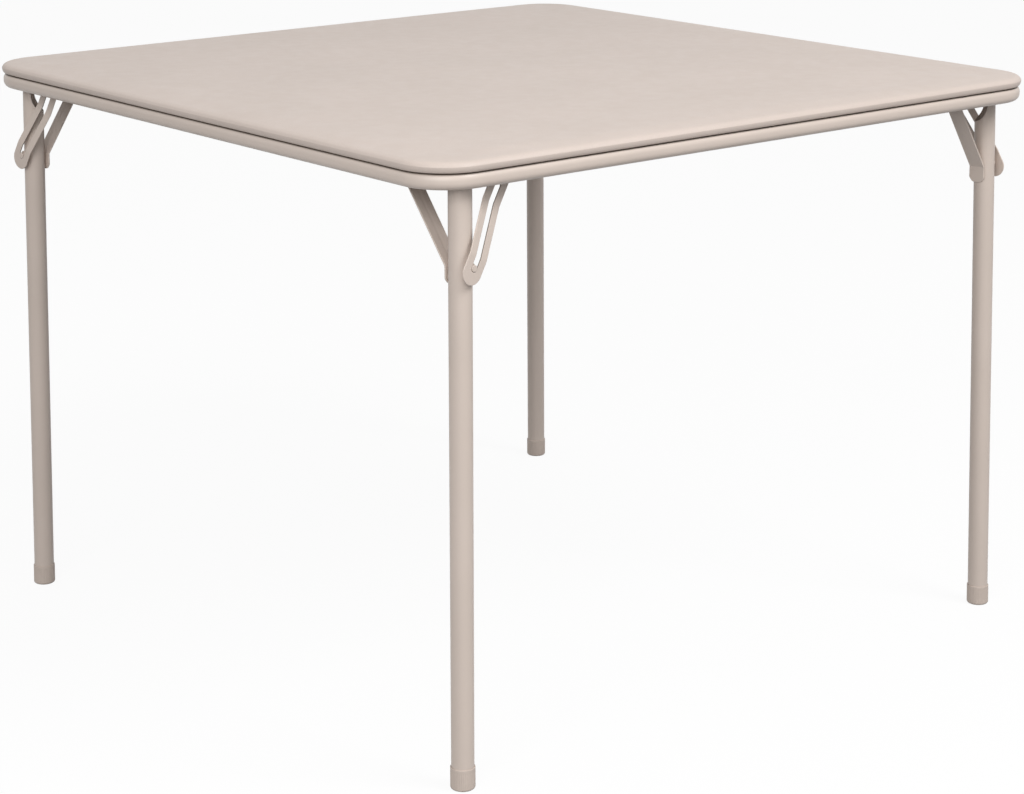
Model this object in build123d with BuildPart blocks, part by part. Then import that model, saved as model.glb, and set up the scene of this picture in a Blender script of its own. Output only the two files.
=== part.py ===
"""Folding card table: a padded square top on a bulged steel rail, with four folding tube legs.

Millimetres, +Z up, origin on the floor under the middle of the top. Each leg stands at a corner
of the rail and the four corners are one corner turned by quarter turns. Places at a corner are
given as (along, inward, up): along the side that the leg folds towards, inward from the other
side's outer face, and up from the floor.
"""

from build123d import *
import os
from math import atan2, cos, degrees, hypot, radians, sin, tan

os.makedirs("parts", exist_ok=True)

# Whole table
top_width = 952.5
table_height = 711.0
corner_radius = 59.0
overrun = 5.0

# Rail: a steel tube of bulged section, with a flange that carries the top
rail_bulge_radius = 9.6
rail_depth = 14.0
rail_wall = 1.2
flange_reach = 22.0

# Padded top
pad_thickness = 14.5
panel_thickness = 4.0
vinyl_thickness = 0.8
pad_hem_radius = 2.5
pad_edge_radius = 8.0
pad_crown_drop = 1.0
pad_crown_reach = 30.0
hem_reach = 20.5

# Leg tube and foot
tube_radius = 13.0
tube_wall = 1.2
leg_splay = 1.26
foot_along = 43.2
foot_inward = 19.05
tube_over_hinge = 8.0
cap_radius = 14.1
cap_height = 26.0
cap_base = 4.0
cap_round = 3.0
scoop_heading = 50.3
scoop_radius = 25.0
scoop_offset = -1.0
scoop_drop = 12.5

# Leg hinge, set down from the rail's top
hinge_drop = 15.5
hinge_heading = 13.0
hinge_offset = 3.0
fold_angle = 91.0
rod_radius = 3.5
rod_clearance = 0.06
rod_past_wall = 0.8
rod_past_ear = 1.6
sleeve_radius = 5.5
sleeve_length = 26.0

# Lock stud, riding in the strap's slot
stud_drop = 105.5
stud_side_offset = 0.1
stud_stand_off = 20.0
stud_radius = 3.8
stud_shoulder_radius = 5.5
stud_shoulder_gap = 2.6
stud_gap = 0.7
stud_proud = 0.9
stud_dome = 0.6
strap_side_gap = 0.3

# Plain side brace, riveted to the tube
strip_heading = 7.0
brace_width = 21.5
brace_thickness = 2.0
brace_side_offset = 1.5
brace_tab_below_stud = 21.0
brace_tab_length = 20.0
brace_slope_below_rod = 9.0
brace_over_rod = 9.0
brace_lean = 34.8
brace_bend_radius = 3.0
brace_corner_round = 6.0
rivet_radius = 3.0

# Slotted lock strap
strap_width = 28.0
strap_thickness = 1.5
slot_width = 8.2
strap_pivot_reach = 51.3
strap_pivot_outset = 3.3
strap_pivot_rise = 1.8
strap_bend_below_pivot = 28.5
strap_bend_over_stud = 11.0
strap_bend_radius = 14.0
strap_end_shift = 4.0
strap_tip_shift = 4.7
slot_top_margin = 14.0

# Strap pivot rivet
pivot_rivet_radius = 2.5
pivot_head_radius = 5.0
pivot_head_height = 1.2
pivot_clearance = 0.05

# Brackets and their screws
bracket_thickness = 2.0
bracket_half_length = 20.0
bracket_outer_reach = 13.5
bracket_inner_reach = 42.0
ear_radius = 8.0
inner_ear_gap = 1.3
brace_ear_gap = 1.4
brace_flange_length = 20.0
brace_flange_half_width = 13.0
strap_ear_radius = 9.0
strap_arm_overlap = 7.5
strap_arm_width = 8.0
strap_arm_root = 5.0
screw_radius = 1.75
screw_head_radius = 3.5
screw_head_height = 2.0
screw_bite = 3.0
bracket_screw_side = 11.0
bracket_screw_margin = 11.0
brace_screw_side = 7.0
brace_screw_step = 11.6
rail_screw_depth = 18.2
rail_screw_end = 176.25

# Sizes worked out from the ones above
half_width = top_width / 2
rail_top = table_height - pad_thickness
rail_bottom = rail_top - 2 * rail_bulge_radius
flange_bottom = rail_top - rail_wall
panel_bottom = rail_top + vinyl_thickness
panel_top = panel_bottom + panel_thickness
splay_rate = tan(radians(leg_splay))
hinge_height = rail_top - hinge_drop
tube_top = hinge_height + tube_over_hinge
stud_height = rail_top - stud_drop
brace_tab_bottom = stud_height - brace_tab_below_stud
brace_tab_top = brace_tab_bottom + brace_tab_length
brace_slope_top = hinge_height - brace_slope_below_rod
brace_top = hinge_height + brace_over_rod
corners = {"front_left": 0, "front_right": 1, "rear_right": 2, "rear_left": 3}


def along(heading):
    """Level direction turned inward from the side by heading degrees."""
    return Vector(cos(radians(heading)), sin(radians(heading)), 0)


def across(heading):
    """Level direction a quarter turn inward from along(heading)."""
    return Vector(-sin(radians(heading)), cos(radians(heading)), 0)


def leg_centre(height):
    """Point on the leg's leaning centre line at a height."""
    lean = splay_rate * height
    return Vector(foot_along + lean, foot_inward + lean, height)


up = Vector(0, 0, 1)
leg_direction = Vector(splay_rate, splay_rate, 1).normalized()
hinge_axis = across(hinge_heading)
fold_direction = along(hinge_heading)
strip_axis = across(strip_heading)
strip_direction = along(strip_heading)
hinge_point = leg_centre(hinge_height) + Vector(hinge_offset, 0, 0)
strap_pivot = hinge_point + Vector(strap_pivot_reach, -strap_pivot_outset, strap_pivot_rise)
strap_span = (strap_pivot - hinge_point).dot(strip_direction)
strap_arm_length = strap_span - bracket_half_length + strap_arm_overlap
strap_upper_bend = strap_pivot.Z - strap_bend_below_pivot
strap_lower_bend = stud_height + strap_bend_over_stud
rod_outer_reach = (hinge_point.Y - rail_depth + rail_wall + rod_past_wall) / hinge_axis.Y
inner_ear_place = sleeve_length / 2 + inner_ear_gap
bracket_screw_place = bracket_inner_reach - bracket_screw_margin
brace_lean_in = splay_rate * (strip_axis.X + strip_axis.Y)
brace_stand_off = tube_radius * hypot(1, brace_lean_in) + brace_thickness / 2
brace_rise = brace_slope_top - brace_tab_top
brace_far = brace_stand_off + brace_rise * tan(radians(brace_lean))
brace_ear_place = brace_far + brace_thickness / 2 + brace_ear_gap
brace_screw_place = brace_ear_place + brace_screw_step
rod_inner_reach = brace_ear_place + bracket_thickness + rod_past_ear
stud_point = (
    leg_centre(stud_height) + strip_direction * stud_side_offset - strip_axis * stud_stand_off
)
strap_run = stud_point - strap_pivot
strap_joggle = strap_run.dot(strip_axis)
strap_down = (strap_run - strip_axis * strap_joggle).normalized()
strap_reach = strap_run.dot(strap_down)
strap_cosine = -strap_down.Z


def corner_plane(turns):
    """Plane at a corner of the rail's outline on the floor, X along the side that the leg folds to."""
    turn = 90 * turns
    return Plane(
        origin=Vector(-half_width, -half_width, 0).rotate(Axis.Z, turn),
        x_dir=Vector(1, 0, 0).rotate(Axis.Z, turn),
        z_dir=(0, 0, 1),
    )


def seat(corner, origin, x_dir, z_dir):
    """Plane given at the corner, carried to the table."""
    return Plane(corner.location * Plane(origin=origin, x_dir=x_dir, z_dir=z_dir).location)


def rod_plane(corner, place):
    """Plane across the hinge rod, place millimetres along it from the hinge point."""
    return seat(corner, hinge_point + hinge_axis * place, fold_direction, hinge_axis)


def stud_plane(corner, place):
    """Plane across the stud, place millimetres inward of the strap's middle."""
    return seat(corner, stud_point + strip_axis * place, strip_direction, strip_axis)


def pivot_plane(corner, place):
    """Plane across the strap's pivot rivet, place millimetres inward of the strap's middle."""
    return seat(corner, strap_pivot + strip_axis * place, strip_direction, strip_axis)


def seat_axis(corner):
    """Axis at the corner that points inward along the stud."""
    origin = corner.from_local_coords(stud_point)
    return Axis(origin, corner.from_local_coords(stud_point + strip_axis) - origin)


def edge_plane():
    """Upright plane across the middle of the front side: X inward, Y up."""
    return Plane(origin=(0, -half_width, 0), x_dir=(0, 1, 0), z_dir=(1, 0, 0))


def outline_path():
    """Closed rounded-square path on the floor, from the middle of the front side."""
    with BuildLine() as path:
        for side in (1, -1):
            FilletPolyline(
                (0, -side * half_width),
                (side * half_width, -side * half_width),
                (side * half_width, side * half_width),
                (0, side * half_width),
                radius=corner_radius,
            )
    return path.wire()


def rail_section(inset):
    """Bulged section of the rail, drawn inset from its outer skin."""
    bulge = rail_bulge_radius - inset
    middle = rail_top - rail_bulge_radius
    with BuildLine() as section:
        Line((rail_bulge_radius, rail_top - inset), (rail_depth - inset, rail_top - inset))
        Line((rail_depth - inset, rail_top - inset), (rail_depth - inset, rail_bottom + inset))
        Line((rail_depth - inset, rail_bottom + inset), (rail_bulge_radius, rail_bottom + inset))
        ThreePointArc(
            (rail_bulge_radius, rail_bottom + inset),
            (rail_bulge_radius - bulge, middle),
            (rail_bulge_radius, rail_top - inset),
        )
    make_face(section.edges())


def pad_section(inset):
    """Edge section of the padded top: small hem, round edge, then a long shallow crown."""
    edge = pad_edge_radius - inset
    hem = pad_hem_radius - inset
    rise = ((pad_crown_reach - pad_edge_radius) ** 2 + pad_crown_drop**2) / (2 * pad_crown_drop)
    crown = rise + pad_edge_radius - inset
    crown_centre = (pad_crown_reach, table_height - inset - crown)
    edge_centre = (pad_edge_radius, table_height - pad_crown_drop - pad_edge_radius)
    lean = atan2(edge_centre[1] - crown_centre[1], edge_centre[0] - crown_centre[0])
    meet = (edge_centre[0] + edge * cos(lean), edge_centre[1] + edge * sin(lean))
    middle = (lean + radians(90)) / 2
    crest = (crown_centre[0] + crown * cos(middle), crown_centre[1] + crown * sin(middle))
    flank = (lean + radians(180)) / 2
    shoulder = (edge_centre[0] + edge * cos(flank), edge_centre[1] + edge * sin(flank))
    hem_centre = (pad_hem_radius, rail_top + pad_hem_radius)
    hem_middle = (hem_centre[0] - hem * cos(radians(45)), hem_centre[1] - hem * sin(radians(45)))
    with BuildLine() as section:
        Line((pad_crown_reach, rail_top + inset), (pad_hem_radius, rail_top + inset))
        ThreePointArc(
            (pad_hem_radius, rail_top + inset), hem_middle, (inset, rail_top + pad_hem_radius)
        )
        Line((inset, rail_top + pad_hem_radius), (inset, edge_centre[1]))
        ThreePointArc((inset, edge_centre[1]), shoulder, meet)
        ThreePointArc(meet, crest, (pad_crown_reach, table_height - inset))
        Line((pad_crown_reach, table_height - inset), (pad_crown_reach, rail_top + inset))
    make_face(section.edges())


def pad_form(inset, mode=Mode.ADD):
    """Padded top's body inside a part context, drawn inset from its outer skin."""
    with BuildSketch(edge_plane()) as rim:
        pad_section(inset)
    sweep(sections=rim.sketch, path=outline_path(), mode=mode)
    with BuildSketch(Plane.XY.offset(rail_top + inset)) as middle:
        RectangleRounded(
            top_width - 2 * pad_crown_reach,
            top_width - 2 * pad_crown_reach,
            corner_radius - pad_crown_reach,
        )
    extrude(middle.sketch, amount=pad_thickness - 2 * inset, mode=mode)


def rail_screw_places():
    """Places of the screws that hold the top down on the rail's flange."""
    depth = half_width - rail_screw_depth
    places = []
    for step in (-1, 0, 1):
        for side in (-1, 1):
            places.append((step * (half_width - rail_screw_end), side * depth))
            places.append((side * depth, step * (half_width - rail_screw_end)))
    return places


def bracket_screw_places(corner, side, reach):
    """Places in plan of a pair of bracket screws, side from the rod and reach along it."""
    places = []
    for hand in (-1, 1):
        local = hinge_point + fold_direction * hand * side + hinge_axis * reach
        place = corner.from_local_coords(local)
        places.append((place.X, place.Y))
    return places


def finish(part, name):
    """Names a finished piece and writes it out."""
    part.label = name
    export_step(part, "parts/" + name + ".step")


def build_rail():
    """Closed rail ring with its flange and the holes for rods and screws."""
    with BuildPart() as rail_frame:
        with BuildSketch(edge_plane()) as skin:
            rail_section(0)
            with BuildLine():
                Polyline(
                    (rail_bulge_radius, rail_top),
                    (flange_reach, rail_top),
                    (flange_reach, flange_bottom),
                    (rail_bulge_radius, flange_bottom),
                    close=True,
                )
            make_face()
        sweep(sections=skin.sketch, path=outline_path())
        with BuildSketch(edge_plane()) as hollow:
            rail_section(rail_wall)
        sweep(sections=hollow.sketch, path=outline_path(), mode=Mode.SUBTRACT)
        with BuildSketch(Plane.XY.offset(flange_bottom)):
            with Locations(*rail_screw_places()):
                Circle(screw_radius)
        extrude(amount=rail_wall, mode=Mode.SUBTRACT)
        for turns in corners.values():
            with BuildSketch(rod_plane(corner_plane(turns), -rod_outer_reach)):
                Circle(rod_radius)
            extrude(amount=rod_outer_reach - tube_radius, mode=Mode.SUBTRACT)
    finish(rail_frame.part, "rail_frame")


def build_top():
    """Panel, foam and the cover that wraps them."""
    screw_places = rail_screw_places()
    for turns in corners.values():
        corner = corner_plane(turns)
        screw_places += bracket_screw_places(corner, bracket_screw_side, bracket_screw_place)
        screw_places += bracket_screw_places(corner, brace_screw_side, brace_screw_place)

    with BuildPart() as top_panel:
        pad_form(vinyl_thickness)
        with BuildSketch(Plane.XY.offset(panel_top)):
            Rectangle(top_width, top_width)
        extrude(amount=pad_thickness, mode=Mode.SUBTRACT)
        with BuildSketch(Plane.XY.offset(panel_bottom)):
            with Locations(*screw_places):
                Circle(screw_radius)
        extrude(amount=screw_bite, mode=Mode.SUBTRACT)
    finish(top_panel.part, "top_panel")

    with BuildPart() as foam_pad:
        pad_form(vinyl_thickness)
        with BuildSketch(Plane.XY.offset(panel_top)):
            Rectangle(top_width, top_width)
        extrude(amount=-pad_thickness, mode=Mode.SUBTRACT)
    finish(foam_pad.part, "foam_pad")

    with BuildPart() as vinyl_cover:
        pad_form(0)
        pad_form(vinyl_thickness, mode=Mode.SUBTRACT)
        with BuildSketch(Plane.XY.offset(rail_top)):
            RectangleRounded(
                top_width - 2 * hem_reach, top_width - 2 * hem_reach, corner_radius - hem_reach
            )
            with Locations(*rail_screw_places()):
                Circle(screw_radius)
        extrude(amount=vinyl_thickness, mode=Mode.SUBTRACT)
    finish(vinyl_cover.part, "vinyl_cover")


def build_screws():
    """Screws of the rail and of the brackets, one group for each kind."""
    hinge_places = []
    brace_places = []
    for turns in corners.values():
        corner = corner_plane(turns)
        hinge_places += bracket_screw_places(corner, bracket_screw_side, bracket_screw_place)
        brace_places += bracket_screw_places(corner, brace_screw_side, brace_screw_place)
    groups = {
        "rail_screws": (rail_screw_places(), flange_bottom),
        "hinge_screws": (hinge_places, flange_bottom - bracket_thickness),
        "brace_screws": (brace_places, panel_bottom - bracket_thickness),
    }
    for name, (places, seat_height) in groups.items():
        with BuildPart() as screws:
            with BuildSketch(Plane.XY.offset(seat_height)):
                with Locations(*places):
                    Circle(screw_head_radius)
            extrude(amount=-screw_head_height)
            with BuildSketch(Plane.XY.offset(seat_height)):
                with Locations(*places):
                    Circle(screw_radius)
            extrude(amount=panel_bottom + screw_bite - seat_height)
        finish(screws.part, name)


def build_leg_tube(corner, name):
    """Round leg tube, scooped on its inner side at the top."""
    top_cut = seat(corner, leg_centre(tube_top), (1, 0, 0), up)
    scoop_along = along(scoop_heading)
    scoop_height = hinge_height - scoop_drop
    scoop_plane = seat(corner, leg_centre(scoop_height), scoop_along, -across(scoop_heading))
    with BuildPart() as leg_tube:
        with BuildSketch(seat(corner, leg_centre(0), (1, 0, 0), leg_direction).offset(cap_base)):
            Circle(tube_radius)
            Circle(tube_radius - tube_wall, mode=Mode.SUBTRACT)
        extrude(amount=table_height)
        with BuildSketch(top_cut):
            Rectangle(top_width, top_width)
        extrude(amount=table_height, mode=Mode.SUBTRACT)
        with BuildSketch(scoop_plane):
            with Locations((scoop_offset + scoop_radius, 0)):
                Circle(scoop_radius)
                Rectangle(2 * scoop_radius, tube_top, align=(Align.CENTER, Align.MIN))
        extrude(amount=2 * tube_radius, both=True, mode=Mode.SUBTRACT)
        with BuildSketch(rod_plane(corner, -sleeve_length / 2 - overrun)):
            Circle(sleeve_radius)
        extrude(amount=sleeve_length + 2 * overrun, mode=Mode.SUBTRACT)
        with BuildSketch(stud_plane(corner, 0)):
            Circle(rivet_radius)
        extrude(amount=2 * stud_stand_off, mode=Mode.SUBTRACT)
    finish(leg_tube.part, name + "_leg_tube")


def build_foot_cap(corner, name):
    """Moulded cup on the foot, cut level with the floor."""
    with BuildPart() as foot_cap:
        with BuildSketch(seat(corner, leg_centre(0), (1, 0, 0), leg_direction).offset(-overrun)):
            Circle(cap_radius)
        extrude(amount=cap_height + overrun)
        with BuildSketch(seat(corner, leg_centre(0), (1, 0, 0), up)):
            Rectangle(4 * cap_radius, 4 * cap_radius)
        extrude(amount=-2 * overrun, mode=Mode.SUBTRACT)
        fillet(foot_cap.edges().group_by(Axis.Z)[0], radius=cap_round)
        with BuildSketch(seat(corner, leg_centre(0), (1, 0, 0), leg_direction).offset(cap_base)):
            Circle(tube_radius)
        extrude(amount=cap_height, mode=Mode.SUBTRACT)
    finish(foot_cap.part, name + "_foot_cap")


def build_hinge(corner, name):
    """Sleeve welded across the tube's top, and the rod that it turns on."""
    with BuildPart() as hinge_sleeve:
        with BuildSketch(rod_plane(corner, -sleeve_length / 2)):
            Circle(sleeve_radius)
            Circle(rod_radius + rod_clearance, mode=Mode.SUBTRACT)
        extrude(amount=sleeve_length)
    finish(hinge_sleeve.part, name + "_hinge_sleeve")

    with BuildPart() as hinge_rod:
        with BuildSketch(rod_plane(corner, -rod_outer_reach)):
            Circle(rod_radius)
        extrude(amount=rod_outer_reach + rod_inner_reach)
    finish(hinge_rod.part, name + "_hinge_rod")


def build_side_brace(corner, name):
    """Plain strip: a tab on the tube, a slope, and an upper tab that turns on the rod."""
    root = leg_centre(brace_tab_top) + strip_direction * brace_side_offset
    profile = seat(corner, root, strip_axis, strip_direction)
    face = seat(corner, root, strip_direction, -strip_axis)
    with BuildPart() as side_brace:
        with BuildSketch(profile):
            with BuildLine():
                FilletPolyline(
                    (brace_stand_off - brace_lean_in * brace_tab_length, -brace_tab_length),
                    (brace_stand_off, 0),
                    (brace_far, brace_rise),
                    (brace_far, brace_top - brace_tab_top),
                    radius=brace_bend_radius,
                )
            trace(line_width=brace_thickness)
        extrude(amount=brace_width / 2, both=True)
        with BuildSketch(face):
            with Locations((0, -brace_tab_length)):
                RectangleRounded(
                    brace_width,
                    brace_top - brace_tab_bottom,
                    brace_corner_round,
                    align=(Align.CENTER, Align.MIN),
                )
        extrude(amount=2 * brace_far, both=True, mode=Mode.INTERSECT)
        with BuildSketch(stud_plane(corner, stud_stand_off)):
            Circle(rivet_radius)
        extrude(amount=brace_far, mode=Mode.SUBTRACT)
        with BuildSketch(rod_plane(corner, brace_ear_place / 2)):
            Circle(rod_radius + rod_clearance)
        extrude(amount=brace_ear_place, mode=Mode.SUBTRACT)
    finish(side_brace.part, name + "_side_brace")

    with BuildPart() as brace_rivet:
        with BuildSketch(stud_plane(corner, stud_stand_off - tube_radius)):
            Circle(rivet_radius)
        extrude(amount=2 * tube_radius + brace_thickness)
    finish(brace_rivet.part, name + "_brace_rivet")


def build_lock_strap(corner, name):
    """Slotted strap, joggled outward so that its foot lies outside the tube."""
    upper_bend = (strap_pivot.Z - strap_upper_bend) / strap_cosine
    lower_bend = (strap_pivot.Z - strap_lower_bend) / strap_cosine
    tip = strap_reach + strap_tip_shift + strap_width
    side = seat(corner, strap_pivot, strap_down, strap_down.cross(strip_axis))
    face = seat(corner, strap_pivot, strap_down, strip_axis)
    with BuildPart() as lock_strap:
        with BuildSketch(side):
            with BuildLine():
                FilletPolyline(
                    (-strap_width, 0),
                    (upper_bend, 0),
                    (lower_bend, strap_joggle),
                    (tip, strap_joggle),
                    radius=strap_bend_radius,
                )
            trace(line_width=strap_thickness)
        extrude(amount=strap_width, both=True)
        with BuildSketch(face):
            body = strap_reach + strap_tip_shift - strap_end_shift
            with Locations((strap_end_shift + body / 2, 0)):
                SlotCenterToCenter(body, strap_width)
            slot = strap_reach - slot_top_margin
            with Locations((slot_top_margin + slot / 2, 0)):
                SlotCenterToCenter(slot, slot_width, mode=Mode.SUBTRACT)
            Circle(pivot_rivet_radius + pivot_clearance, mode=Mode.SUBTRACT)
        extrude(amount=2 * abs(strap_joggle), both=True, mode=Mode.INTERSECT)
    finish(lock_strap.part, name + "_lock_strap")


def build_strap_pins(corner, name):
    """Shouldered stud that rides in the slot, and the rivet that the strap turns on."""
    shoulder = strap_thickness / 2 + stud_shoulder_gap
    with BuildPart() as lock_stud:
        with BuildSketch(stud_plane(corner, shoulder)):
            Circle(stud_shoulder_radius)
        extrude(amount=stud_stand_off - tube_radius - stud_gap - shoulder)
        with BuildSketch(stud_plane(corner, shoulder)):
            Circle(stud_radius)
        extrude(amount=-shoulder - strap_thickness / 2 - stud_proud)
        end = lock_stud.faces().filter_by(GeomType.PLANE).sort_by(seat_axis(corner))[0]
        fillet(end.edges(), radius=stud_dome)
    finish(lock_stud.part, name + "_lock_stud")

    with BuildPart() as strap_rivet:
        with BuildSketch(pivot_plane(corner, strap_thickness / 2)):
            Circle(pivot_rivet_radius)
        extrude(amount=-strap_thickness - strap_side_gap - bracket_thickness)
        ear_face = strap_thickness / 2 + strap_side_gap + bracket_thickness
        with BuildSketch(pivot_plane(corner, -ear_face)):
            Circle(pivot_head_radius)
        extrude(amount=-pivot_head_height)
    finish(strap_rivet.part, name + "_strap_rivet")


def build_brackets(corner, name):
    """Pressed bracket for the hinge and the strap, and the small one for the brace."""
    shoulder = strap_thickness / 2 + strap_side_gap
    plate_level = Vector(0, 0, flange_bottom - bracket_thickness)
    hinge_plan = Vector(hinge_point.X, hinge_point.Y, 0) + plate_level
    strap_plan = Vector(strap_pivot.X, strap_pivot.Y, 0) + plate_level
    with BuildPart() as hinge_bracket:
        with BuildSketch(seat(corner, hinge_plan, fold_direction, up)):
            with Locations((0, -bracket_outer_reach)):
                Rectangle(
                    2 * bracket_half_length,
                    bracket_outer_reach + bracket_inner_reach,
                    align=(Align.CENTER, Align.MIN),
                )
        extrude(amount=bracket_thickness)
        with BuildSketch(seat(corner, strap_plan, strip_direction, up)):
            with Locations((strap_ear_radius, -shoulder)):
                Rectangle(
                    strap_arm_length + strap_ear_radius,
                    strap_arm_width,
                    align=(Align.MAX, Align.MAX),
                )
            with Locations((-strap_ear_radius, -shoulder - strap_arm_width)):
                Rectangle(
                    strap_arm_length,
                    strap_arm_width + strap_arm_root,
                    align=(Align.MAX, Align.MIN),
                )
        extrude(amount=bracket_thickness)
        with BuildSketch(rod_plane(corner, inner_ear_place)):
            Circle(ear_radius)
            Rectangle(
                2 * ear_radius, flange_bottom - hinge_height, align=(Align.CENTER, Align.MAX)
            )
        extrude(amount=bracket_thickness)
        with BuildSketch(pivot_plane(corner, -shoulder)):
            Circle(strap_ear_radius)
            Rectangle(
                2 * strap_ear_radius,
                flange_bottom - strap_pivot.Z,
                align=(Align.CENTER, Align.MAX),
            )
        extrude(amount=-bracket_thickness)
        with BuildSketch(rod_plane(corner, 0)):
            Circle(rod_radius)
        extrude(amount=rod_inner_reach, mode=Mode.SUBTRACT)
        with BuildSketch(pivot_plane(corner, 0)):
            Circle(pivot_rivet_radius)
        extrude(amount=-shoulder - bracket_thickness, mode=Mode.SUBTRACT)
        with BuildSketch(Plane.XY.offset(flange_bottom - bracket_thickness)):
            with Locations(*bracket_screw_places(corner, bracket_screw_side, bracket_screw_place)):
                Circle(screw_radius)
        extrude(amount=bracket_thickness, mode=Mode.SUBTRACT)
    finish(hinge_bracket.part, name + "_hinge_bracket")

    foot_level = Vector(0, 0, panel_bottom - hinge_height - bracket_thickness)
    flange_root = hinge_point + hinge_axis * brace_ear_place + foot_level
    with BuildPart() as brace_bracket:
        with BuildSketch(seat(corner, flange_root, fold_direction, up)):
            Rectangle(
                2 * brace_flange_half_width,
                brace_flange_length,
                align=(Align.CENTER, Align.MIN),
            )
        extrude(amount=bracket_thickness)
        with BuildSketch(rod_plane(corner, brace_ear_place)):
            Circle(ear_radius)
            Rectangle(
                2 * ear_radius, panel_bottom - hinge_height, align=(Align.CENTER, Align.MAX)
            )
        extrude(amount=bracket_thickness)
        with BuildSketch(rod_plane(corner, 0)):
            Circle(rod_radius)
        extrude(amount=rod_inner_reach, mode=Mode.SUBTRACT)
        with BuildSketch(Plane.XY.offset(panel_bottom - bracket_thickness)):
            with Locations(*bracket_screw_places(corner, brace_screw_side, brace_screw_place)):
                Circle(screw_radius)
        extrude(amount=bracket_thickness, mode=Mode.SUBTRACT)
    finish(brace_bracket.part, name + "_brace_bracket")


def report_motion():
    """Prints the pivots, axes and ranges of the first corner's moving pieces."""
    rest = stud_point - hinge_point
    out = rest.dot(fold_direction)
    turn = radians(fold_angle)
    folded = (
        hinge_point
        + fold_direction * (out * cos(turn) - rest.Z * sin(turn))
        + hinge_axis * rest.dot(hinge_axis)
        + up * (out * sin(turn) + rest.Z * cos(turn))
    )
    reach = folded - strap_pivot
    swing = atan2(reach.dot(strip_direction), -reach.Z)
    start = atan2(strap_run.dot(strip_direction), -strap_run.Z)
    slide_turn = start - swing
    level = reach.dot(strip_direction) * cos(slide_turn) - reach.Z * sin(slide_turn)
    rise = reach.dot(strip_direction) * sin(slide_turn) + reach.Z * cos(slide_turn)
    back = strip_direction * level + up * rise + strip_axis * reach.dot(strip_axis)
    slide = back - strap_run
    for name, turns in corners.items():
        corner = corner_plane(turns)
        origin = corner.from_local_coords(Vector(0, 0, 0))
        hinge_place = corner.from_local_coords(hinge_point)
        pivot_place = corner.from_local_coords(strap_pivot)
        hinge_line = corner.from_local_coords(-hinge_axis) - origin
        pivot_line = corner.from_local_coords(-strip_axis) - origin
        slide_line = corner.from_local_coords(slide.normalized()) - origin
        print(name, "leg hinge", tuple(hinge_place), tuple(hinge_line), fold_angle)
        print(name, "strap pivot", tuple(pivot_place), tuple(pivot_line), degrees(swing - start))
        print(name, "stud slide", tuple(slide_line), slide.length)


build_rail()
build_top()
build_screws()
for corner_name, corner_turns in corners.items():
    place = corner_plane(corner_turns)
    build_leg_tube(place, corner_name)
    build_foot_cap(place, corner_name)
    build_hinge(place, corner_name)
    build_side_brace(place, corner_name)
    build_lock_strap(place, corner_name)
    build_strap_pins(place, corner_name)
    build_brackets(place, corner_name)
report_motion()
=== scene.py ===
"""Looks of the folding card table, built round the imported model.

The padded cover, the rail, the lock straps, the side braces and the foot caps are surfaces
worked out here with numpy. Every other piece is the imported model's own, with a finish of its
own. Sizes are in millimetres, and points become metres when they are placed on the table.
"""

import logging
import math
from dataclasses import dataclass
from enum import Enum

import bpy
import numpy as np
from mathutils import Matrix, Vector


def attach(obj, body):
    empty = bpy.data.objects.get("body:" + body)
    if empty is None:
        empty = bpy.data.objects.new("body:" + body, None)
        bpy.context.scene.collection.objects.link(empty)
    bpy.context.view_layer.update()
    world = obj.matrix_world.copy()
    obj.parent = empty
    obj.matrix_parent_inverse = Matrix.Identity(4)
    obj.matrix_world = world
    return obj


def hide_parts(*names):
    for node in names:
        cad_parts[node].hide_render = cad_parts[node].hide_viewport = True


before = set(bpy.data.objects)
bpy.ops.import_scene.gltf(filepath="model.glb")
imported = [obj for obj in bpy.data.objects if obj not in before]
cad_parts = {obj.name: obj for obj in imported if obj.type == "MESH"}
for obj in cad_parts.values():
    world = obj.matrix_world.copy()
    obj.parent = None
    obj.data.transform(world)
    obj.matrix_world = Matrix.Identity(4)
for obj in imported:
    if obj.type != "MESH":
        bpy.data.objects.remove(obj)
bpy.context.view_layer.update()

MM = 0.001

log = logging.getLogger("card_table")


# Geometry


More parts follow.
